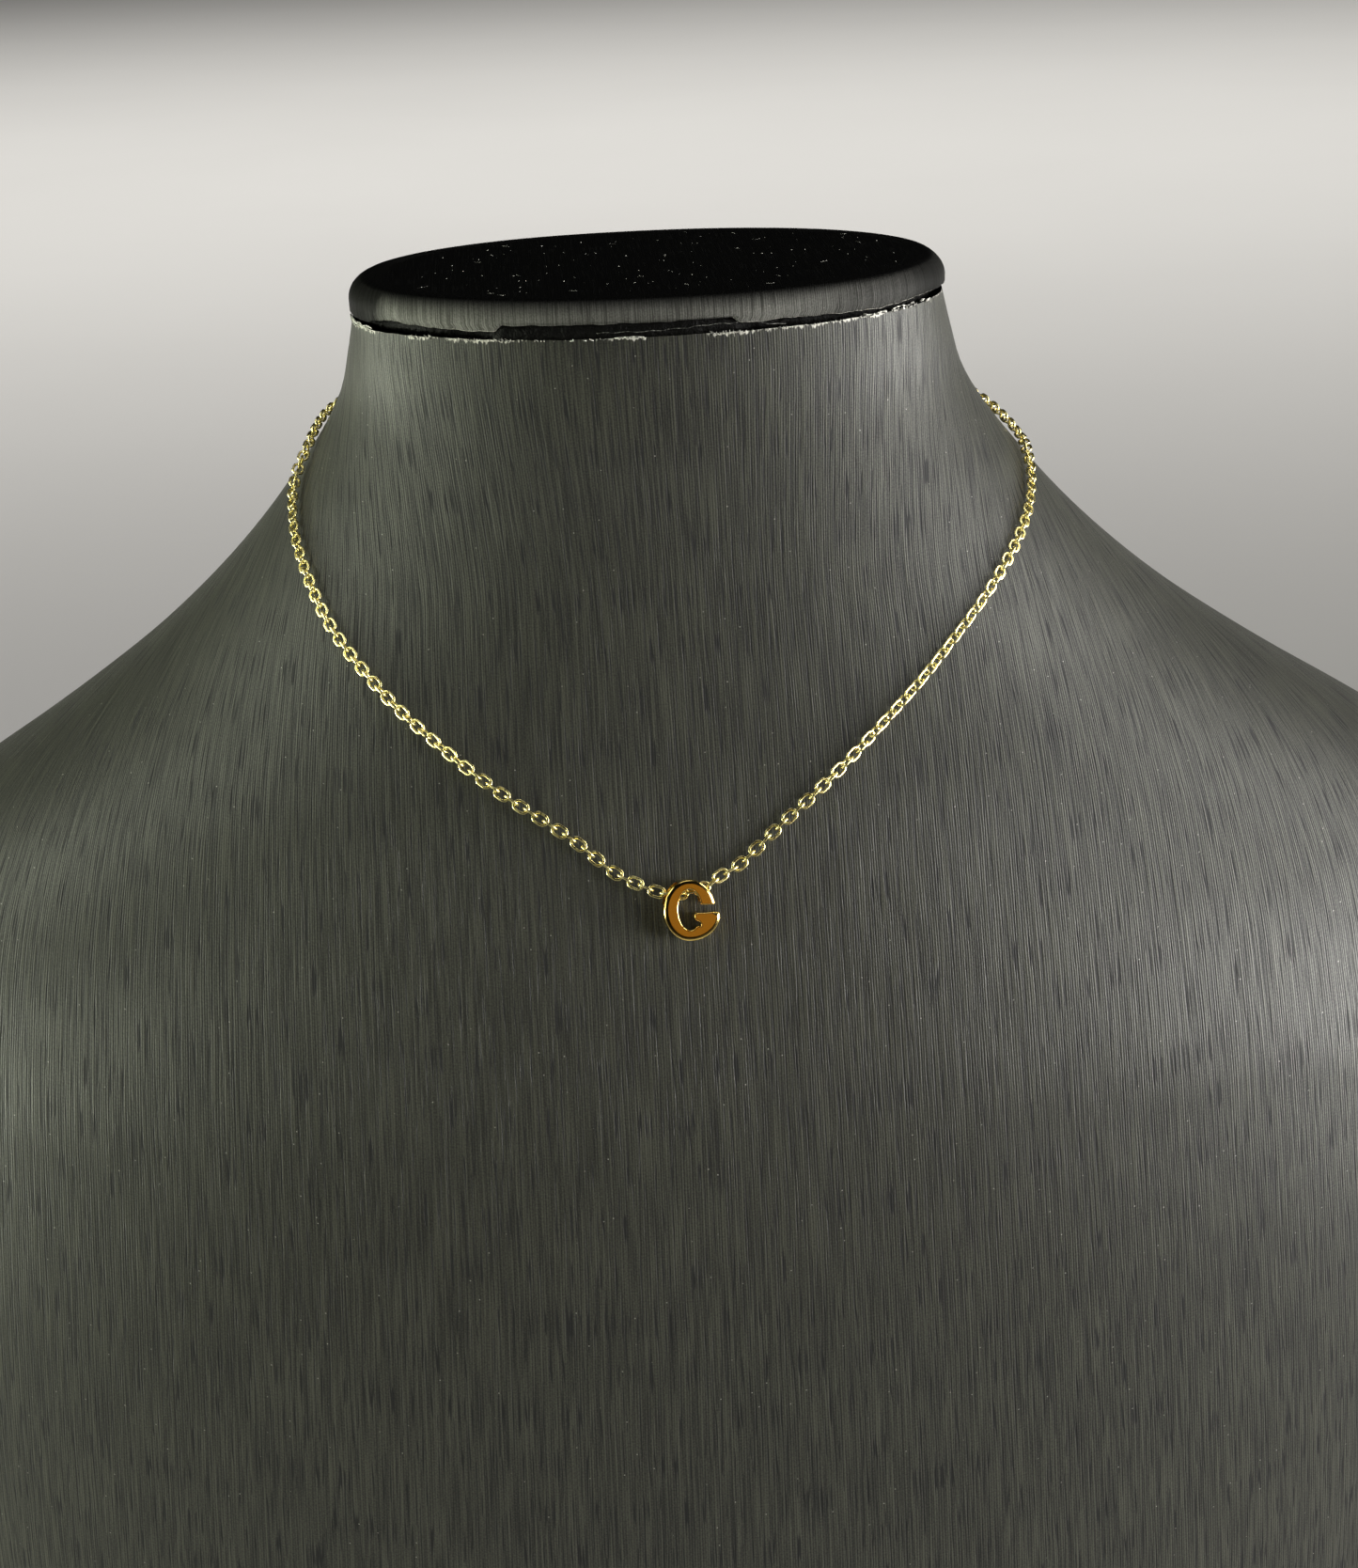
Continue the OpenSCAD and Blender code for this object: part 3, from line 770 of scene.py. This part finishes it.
lint_parts = []
for _ in range(LINT_COUNT):
    turn = chance.uniform(0, math.tau)
    share = math.sqrt(chance.random()) * LINT_EDGE
    along = math.cos(turn) * LINT_REACH_X * share
    back = LINT_MIDDLE_Y + math.sin(turn) * LINT_REACH_Y * share
    long_fibre = chance.random() < LONG_SHARE
    length = chance.uniform(*(LONG_LENGTHS if long_fibre else SHORT_LENGTHS)) * MM
    heading = chance.uniform(0, math.tau)
    bend = chance.uniform(-BEND, BEND)
    line = [np.array((along * MM, back * MM, cap_top - LINT_SUNK))]
    for _ in range(LINT_STEPS):
        heading += bend / LINT_STEPS
        line.append(line[-1] + np.array((math.cos(heading), math.sin(heading), 0)) * length / LINT_STEPS)
    thick = (LONG_RADIUS if long_fibre else chance.uniform(*SHORT_RADII)) * MM
    lint_parts.append(tube(line, [thick * share for share in LINT_TAPER], 5))
new_piece("cap_lint", *joined(lint_parts), thread_pale, "black_cap")

# %% [markdown]
# ## Links
# Each link is an oval ring of round wire. Its middle and axes are read back from the solid's own points,
# whose spread is widest along the link, then across it, then through it, and a smoother ring is laid on
# them. An array of one link along a curve would be shorter, but it wouldn't lie in the solids' places.

# %% Links found in a chain solid
SAME_POINT = 1e-7  # metres


def loose_parts(node):
    """The points of each separate ring of a chain solid."""
    held = bmesh.new()
    held.from_mesh(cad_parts[node].data)
    bmesh.ops.remove_doubles(held, verts=held.verts, dist=SAME_POINT)
    parts, seen = [], set()
    for start in held.verts:
        if start.index in seen:
            continue
        seen.add(start.index)
        part, waiting = [], [start]
        while waiting:
            vert = waiting.pop()
            part.append(tuple(vert.co))
            for edge in vert.link_edges:
                other = edge.other_vert(vert)
                if other.index not in seen:
                    seen.add(other.index)
                    waiting.append(other)
        parts.append(np.array(part))
    held.free()
    return parts


links_of = {side: loose_parts(side) for side in ("chain_left", "chain_right")}
print({side: len(links) for side, links in links_of.items()}, "links")

# %% Round wire on a flat ring
WIRE_SQUARENESS = (0.8, 0.7)  # below 1, the wire is a little squarer than round, as pressed links are


def ring_axes(points):
    """Middle, axes and outer sizes of a flat ring, from its points."""
    middle = points.mean(0)
    axes = np.linalg.svd(points - middle)[2]
    sizes = np.ptp((points - middle) @ axes.T, axis=0)
    return middle, axes, sizes


def oval_rings(parts, wire, flatten, along_count, round_count):
    """Points and faces of wire oval rings laid over flat rings."""
    rings, section, ring_faces = [], [], []
    for turn in np.arange(round_count) / round_count * math.tau:
        ends = (math.cos(turn), math.sin(turn))
        section.append([math.copysign(abs(v) ** power, v) for v, power in zip(ends, WIRE_SQUARENESS)])
    for i in range(along_count):
        for k in range(round_count):
            here, ahead = i * round_count, (i + 1) % along_count * round_count
            after = (k + 1) % round_count
            ring_faces.append((here + k, ahead + k, ahead + after, here + after))
    half_turn = np.linspace(-math.pi / 2, math.pi / 2, along_count // 2)
    for part in parts:
        middle, axes, (length, width, _) = ring_axes(part)
        bend, straight = (width - wire) / 2, (length - width) / 2
        bent = [(math.cos(a), math.sin(a)) for a in half_turn]
        line = [(straight + bend * x, bend * y, x, y) for x, y in bent]
        line += [(-x, -y, -out_x, -out_y) for x, y, out_x, out_y in line]
        points = []
        for x, y, out_x, out_y in line:
            for sideways, through in section:
                reach = wire / 2 * sideways
                local = (x + out_x * reach, y + out_y * reach, wire / 2 * flatten * through)
                points.append(middle + np.array(local) @ axes)
        rings.append((points, ring_faces))
    return joined(rings)


middle, axes, link_size = ring_axes(links_of["chain_left"][0])
print("the first link measures", (link_size / MM).round(2), "mm along, across and through")

# %% [markdown]
# ## Gold plating
# The chain and the letter are plated in bright gold, the chain a little paler. Polished metal shows its
# surroundings, tinted, so the plating is a metal with a tint and a low roughness, and a very fine
# unevenness from polishing breaks its reflections up.

# %% Gold materials
def plating(name, tint_low, tint_high, roughness, grain, glint):
    """Polished gold-toned plating with faint polishing marks."""
    material, start, shader = new_material(name, {"Metallic": 1.0, "Specular Tint": (*glint, 1)})
    place = place_in_mm(start)
    marks = place.solid_noise(rate=1.3, detail=3.0, roughness=0.6)
    tone = place.solid_noise(rate=0.35, shift=5.0)
    feed(
        shader, base_color=tone.tint(tint_low, tint_high),
        roughness=marks * roughness + roughness * 0.5, normal=marks.bump(grain),
    )
    print(f"{name}: roughness {roughness * 0.5:.2f} to {roughness * 1.5:.2f}")
    return material


chain_gold = plating(
    "chain_gold", (0.78, 0.66, 0.27), (0.86, 0.78, 0.4), 0.26, 0.02 * MM, glint=(1.0, 0.98, 0.86)
)
letter_gold = plating(
    "letter_gold", (0.93, 0.66, 0.2), (1.0, 0.74, 0.26), 0.12, 0.003 * MM, glint=(1.0, 0.95, 0.75)
)

# %% [markdown]
# ## Chain and clasp
# The wire is about 0.44 mm thick and pressed a little flat. The clasp behind the neck is out of the
# photograph's sight, so it stays one plain closed ring of thicker wire.

# %% Chain and clasp
LINK_SHAPE = {"wire": 0.44 * MM, "flatten": 0.84, "along_count": 28, "round_count": 12}
CLASP_SHAPE = {"wire": 0.6 * MM, "flatten": 1.0, "along_count": 56, "round_count": 14}
for side, links in links_of.items():
    new_piece(side + "_links", *oval_rings(links, **LINK_SHAPE), chain_gold, "chain_gold", replaces=[side])
clasp = oval_rings(loose_parts("clasp"), **CLASP_SHAPE)
new_piece("clasp_ring", *clasp, chain_gold, "chain_gold", replaces=["clasp"])

# %% [markdown]
# ## Letter
# The letter is cast, slotted through its sides for the chain and polished, so its edges are rounded over.
# A bevel modifier stumbles on the many short edges of the curves. Instead the outline is read from the
# solid's front face and filled with a fine mesh, whose points are pushed back by their distance to it.

# %% Corners of the letter
NEARLY_FLAT = 0.01  # radians between faces that count as one
NEAR_FACE = 0.95  # a corner less deep than this share of the letter's half thickness is the slot's

held = bmesh.new()
held.from_mesh(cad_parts["letter_g"].data)
bmesh.ops.remove_doubles(held, verts=held.verts, dist=SAME_POINT)
bmesh.ops.dissolve_limit(held, angle_limit=NEARLY_FLAT, verts=held.verts, edges=held.edges)
front = max(held.faces, key=lambda face: face.calc_area() * -face.normal.y)
corners, letter_out = np.array([v.co for v in front.verts]), front.normal.copy()
every_corner = np.array([v.co for v in held.verts])
held.free()
letter_right = Vector((0, 0, 1)).cross(letter_out).normalized()
letter_axes = np.array((letter_right, letter_out.cross(letter_right), letter_out))
letter_middle = (every_corner.min(0) + every_corner.max(0)) / 2
local = (every_corner - letter_middle) @ letter_axes.T
depth_middle = (local[:, 2].min() + local[:, 2].max()) / 2
letter_middle = letter_middle + depth_middle * letter_axes[2]
local[:, 2] -= depth_middle
half_thick = local[:, 2].max()
in_slot = local[np.abs(local[:, 2]) < half_thick * NEAR_FACE]
slot_half = np.abs(in_slot[:, 2]).max()
slot_low, slot_high = in_slot[:, 1].min(), in_slot[:, 1].max()
print(f"letter {2 * half_thick / MM:.2f} mm thick, slot {2 * slot_half / MM:.2f} mm wide")

# %% Outline of the letter
def even_outline(corners, spacing, passes):
    """A closed outline resampled evenly and softened a little."""
    closed = np.vstack([corners, corners[:1]])
    along = np.concatenate([[0], np.cumsum(np.linalg.norm(np.diff(closed, axis=0), axis=1))])
    count = int(along[-1] / spacing)
    places = np.arange(count) / count * along[-1]
    line = np.stack([np.interp(places, along, closed[:, k]) for k in (0, 1)], axis=1)
    for _ in range(passes):
        line = (np.roll(line, 1, axis=0) + 2 * line + np.roll(line, -1, axis=0)) / 4
    return line


def inside(points, line):
    """Which points lie inside a closed outline."""
    a, b = line, np.roll(line, -1, axis=0)
    y = points[:, 1][:, None]
    crossed = (a[:, 1] > y) != (b[:, 1] > y)
    rise = np.where(b[:, 1] == a[:, 1], 1, b[:, 1] - a[:, 1])
    x_there = (b[:, 0] - a[:, 0]) * (y - a[:, 1]) / rise + a[:, 0]
    return (crossed & (points[:, 0][:, None] < x_there)).sum(1) % 2 == 1


def outline_distance(points, line):
    """The distance of each point to a closed outline, and the nearest part of it."""
    a = line[None]
    along = np.roll(line, -1, axis=0)[None] - a
    to_point = points[:, None] - a
    share = np.clip((to_point * along).sum(2) / (along * along).sum(2), 0, 1)
    apart = np.linalg.norm(to_point - share[..., None] * along, axis=2)
    return apart.min(1), apart.argmin(1)


outline = even_outline(((corners - letter_middle) @ letter_axes.T)[:, :2], spacing=0.09 * MM, passes=5)
low, high = outline.min(0), outline.max(0)
print(f"letter: {len(outline)} outline points, {(high - low) / MM} mm wide and high")

# %% [markdown]
# ## Fill and edges of the letter
# A face with hundreds of corners shades badly when it bends. So rows of points follow the edge, close
# together where it is rounded, round a plain grid, and Blender's own 2D triangulation joins them. Polishing
# rounds an outer edge more than the counter, which the wheel can't reach, so two falls are added up: a tight
# quarter circle along every edge, and a wide shallow one on the outer edge.

# %% Fill of the letter
INSETS = np.array([0.015, 0.04, 0.08, 0.13, 0.19, 0.27, 0.37, 0.48, 0.6, 0.72]) * MM
TRUE_INSET = 0.97  # a point nearer than this share of its inset came too close to another side
GRID_STEP, GRID_GAP = 0.2 * MM, 0.4  # the gap to the last inset is in grid steps
KEEP_INSIDE, SAME_SPOT = 1, 1e-5  # the triangulation's kind of output, and its nearness in mm

along = np.roll(outline, -1, axis=0) - np.roll(outline, 1, axis=0)
inward_of = np.stack([-along[:, 1], along[:, 0]], axis=1) / np.linalg.norm(along, axis=1)[:, None]
if not inside(outline[:1] + inward_of[:1] * INSETS[1], outline)[0]:
    inward_of = -inward_of
fill = []
for step in INSETS:
    ring = outline + inward_of * step
    keep = inside(ring, outline) & (outline_distance(ring, outline)[0] > step * TRUE_INSET)
    fill.append(ring[keep])
cells = np.meshgrid(*[np.arange(low[k], high[k], GRID_STEP) for k in (0, 1)])
cells = np.stack(cells, axis=2).reshape(-1, 2)
cells = cells[inside(cells, outline)]
fill.append(cells[outline_distance(cells, outline)[0] > INSETS[-1] + GRID_STEP * GRID_GAP])
spots = [Vector(p / MM) for p in np.concatenate([outline] + fill)]
filled = geometry.delaunay_2d_cdt(spots, [], [list(range(len(outline)))], KEEP_INSIDE, SAME_SPOT)
flat_points = np.array([tuple(p) for p in filled[0]]) * MM
triangles = [tuple(t) for t in filled[2]]
print(f"{len(flat_points)} points and {len(triangles)} triangles fill the letter's face")

# %% Rounded edges
OUTER_FROM, OUTER_TO = 0.72, 0.88  # shares of the way from the middle out to the letter's box
TIGHT_WIDTH = 0.14 * MM
WIDE_INNER, WIDE_ADDED = 0.2 * MM, 0.55 * MM  # width of the wide fall, and more at the outer edge
FALL_INNER, FALL_ADDED, WIDE_POWER = 0.03 * MM, 0.2 * MM, 2.6  # its depth, and its curve

depth_in, nearest = outline_distance(flat_points, outline)
from_middle = np.linalg.norm((outline - (low + high) / 2) / ((high - low) / 2), axis=1)
outer = smooth_rise(from_middle, OUTER_FROM, OUTER_TO)[nearest]
near = np.clip(depth_in / TIGHT_WIDTH, 0, 1)
fall = TIGHT_WIDTH * (1 - np.sqrt(np.maximum(1 - (1 - near) ** 2, 0)))
wide = WIDE_INNER + WIDE_ADDED * outer
wide_fall = FALL_INNER + FALL_ADDED * outer
fall = fall + wide_fall * (1 - np.clip(depth_in / wide, 0, 1)) ** WIDE_POWER
heights = half_thick - fall
print(f"the edges fall by up to {fall.max() / MM:.2f} mm")

# %% Letter
WALL_SHARES = (0.6, 0.0, -0.6)  # rows of the side wall, as shares of the height of its edge
front = np.column_stack([flat_points, heights])
back = np.column_stack([flat_points, -heights])
edge_heights = heights[:len(outline)]
wall_rows = [np.column_stack([outline, edge_heights * share]) for share in WALL_SHARES]
letter_points = np.concatenate([front, back] + wall_rows)
n, ring_n = len(front), len(outline)
letter_faces = triangles + [tuple(n + v for v in t[::-1]) for t in triangles]
ring_starts = [0] + [2 * n + k * ring_n for k in range(len(wall_rows))] + [n]
for upper, lower in zip(ring_starts, ring_starts[1:]):
    for i in range(ring_n):
        j = (i + 1) % ring_n
        letter_faces.append((upper + j, upper + i, lower + i, lower + j))
letter_world = letter_middle + letter_points @ letter_axes
letter = new_piece(
    "letter_polished", letter_world, letter_faces, letter_gold, "polished_gold", replaces=["letter_g"],
)
checked = bmesh.new()
checked.from_mesh(letter.data)
bmesh.ops.recalc_face_normals(checked, faces=checked.faces)
checked.to_mesh(letter.data)
checked.free()

# %% [markdown]
# ## Slot for the chain
# The chain runs through a slot from side to side, and its links show in the letter's counter. The slot is
# cut with a boolean, whose sizes come from the solid's own slot, because cutting is how it is made.

# %% Slot for the chain
slot_corners = [
    letter_middle + np.array((x, y, z)) @ letter_axes
    for x in (low[0] - 1 * MM, high[0] + 1 * MM)
    for y in (slot_low, slot_high)
    for z in (-slot_half, slot_half)
]
SLOT_FACES = [(0, 1, 3, 2), (4, 6, 7, 5), (0, 4, 5, 1), (2, 3, 7, 6), (0, 2, 6, 4), (1, 5, 7, 3)]
slot_mesh = bpy.data.meshes.new("slot_cutter")
slot_mesh.from_pydata([tuple(p) for p in slot_corners], [], SLOT_FACES)
slot_mesh.materials.append(letter_gold)
cutter = bpy.data.objects.new("slot_cutter", slot_mesh)
bpy.context.scene.collection.objects.link(cutter)
cut = letter.modifiers.new("slot", "BOOLEAN")
cut.operation = "DIFFERENCE"
cut.solver = "EXACT"
cut.object = cutter
slotted = bpy.data.meshes.new_from_object(letter.evaluated_get(bpy.context.evaluated_depsgraph_get()))
letter.modifiers.clear()
letter.data = slotted
bpy.data.objects.remove(cutter)
slotted.shade_smooth()
slotted.set_sharp_from_angle(angle=math.radians(38))
print(f"letter: {len(slotted.polygons)} faces after the slot is cut")

# %% [markdown]
# ## Floor
# The bust stands on a sheet of pale paper, wide enough that no horizon shows. It is stage, not part of
# the object. A faint noise keeps it from looking like a flat colour.

# %% Floor
floor_material, floor_start, floor_shader = new_material("floor_paper", {"Roughness": 0.9})
paper = floor_start.node("ShaderNodeNewGeometry").solid_noise(rate=3, detail=4.0)
feed(floor_shader, base_color=paper.tint((0.76, 0.75, 0.73), (0.8, 0.79, 0.77)))
bpy.ops.mesh.primitive_plane_add(size=30, location=(0, 6, 0))
floor = bpy.context.object
floor.name = "floor"
floor.data.materials.append(floor_material)
print("floor:", floor.dimensions.x, "m of pale paper")

# %% [markdown]
# ## Light
# In the photograph the neck and shoulders gleam on both sides and stay dull in front, so soft boxes stand
# to the left and right, low, level and high, with a narrow spread that keeps them off the floor. A warm
# card gives the letter's face its amber, because polished gold shows what it faces. Each power was found
# by rendering the lights one at a time and comparing their sum with the photograph.


# %% Soft boxes
def softbox(name, place, target, width, height, watts, colour, spread=45):
    """A soft light that faces a target point and spreads over an angle in degrees."""
    light = bpy.data.lights.new(name, "AREA")
    light.spread = math.radians(spread)
    light.shape = "RECTANGLE"
    light.size = width
    light.size_y = height
    light.energy = watts
    light.color = colour
    lamp = bpy.data.objects.new(name, light)
    lamp.location = place
    lamp.rotation_mode = "QUATERNION"
    lamp.rotation_quaternion = (Vector(target) - Vector(place)).to_track_quat("-Z", "Y")
    bpy.context.scene.collection.objects.link(lamp)


GREENISH, NEUTRAL, WARM = (0.95, 1.0, 0.82), (1.0, 0.985, 0.955), (1.0, 0.52, 0.1)
SOFTBOXES = [  # name, place and target in metres, width and height, watts, colour, spread
    ("left_rear", (-0.95, 0.3, 0.42), (0, 0.1, 0.3), 0.35, 0.5, 0.42, GREENISH),
    ("left_corner", (-0.85, -0.7, 0.45), (0, -0.05, 0.3), 0.35, 0.5, 0.25, GREENISH),
    ("left_high", (-0.8, 0.05, 0.9), (0, 0, 0.26), 0.8, 0.35, 0.33, GREENISH),
    ("left_low", (-0.98, 0.0, 0.1), (0, 0, 0.2), 0.7, 0.2, 1.37, GREENISH),
    ("right_side", (0.97, 0.05, 0.42), (0, 0.03, 0.3), 0.5, 0.5, 0.91, NEUTRAL),
    ("right_front", (0.9, -0.4, 0.42), (0, -0.05, 0.3), 0.35, 0.5, 0.33, NEUTRAL),
    ("right_corner", (0.8, -0.7, 0.42), (0, -0.05, 0.3), 0.35, 0.5, 0.59, NEUTRAL),
    ("right_high", (0.8, 0.05, 0.9), (0, 0, 0.26), 0.8, 0.35, 0.5, NEUTRAL),
    ("right_low", (0.98, -0.2, 0.1), (0, 0, 0.2), 0.9, 0.2, 1.27, NEUTRAL),
    ("letter_card", (0.8, -2.0, 0.71), (0, 0, 0.22), 1.2, 0.5, 0.5, WARM, 180),
    ("top_card", (0, -0.15, 1.1), (0, -0.06, 0.21), 0.5, 0.25, 0.35, NEUTRAL, 180),
    ("floor_light", (0, 1.6, 3.6), (0, 2.5, 0), 5.0, 2.6, 50, NEUTRAL, 70),
]
for setting in SOFTBOXES:
    softbox(*setting)
print(len(SOFTBOXES), "soft boxes")

# %% Dim surroundings
world = bpy.data.worlds.new("studio")
bpy.context.scene.world = world
world.use_nodes = True
surroundings = world.node_tree.nodes["Background"]
surroundings.inputs["Color"].default_value = (0.004, 0.004, 0.004, 1)
bpy.context.scene.view_settings.view_transform = "Standard"
print("surroundings nearly black")
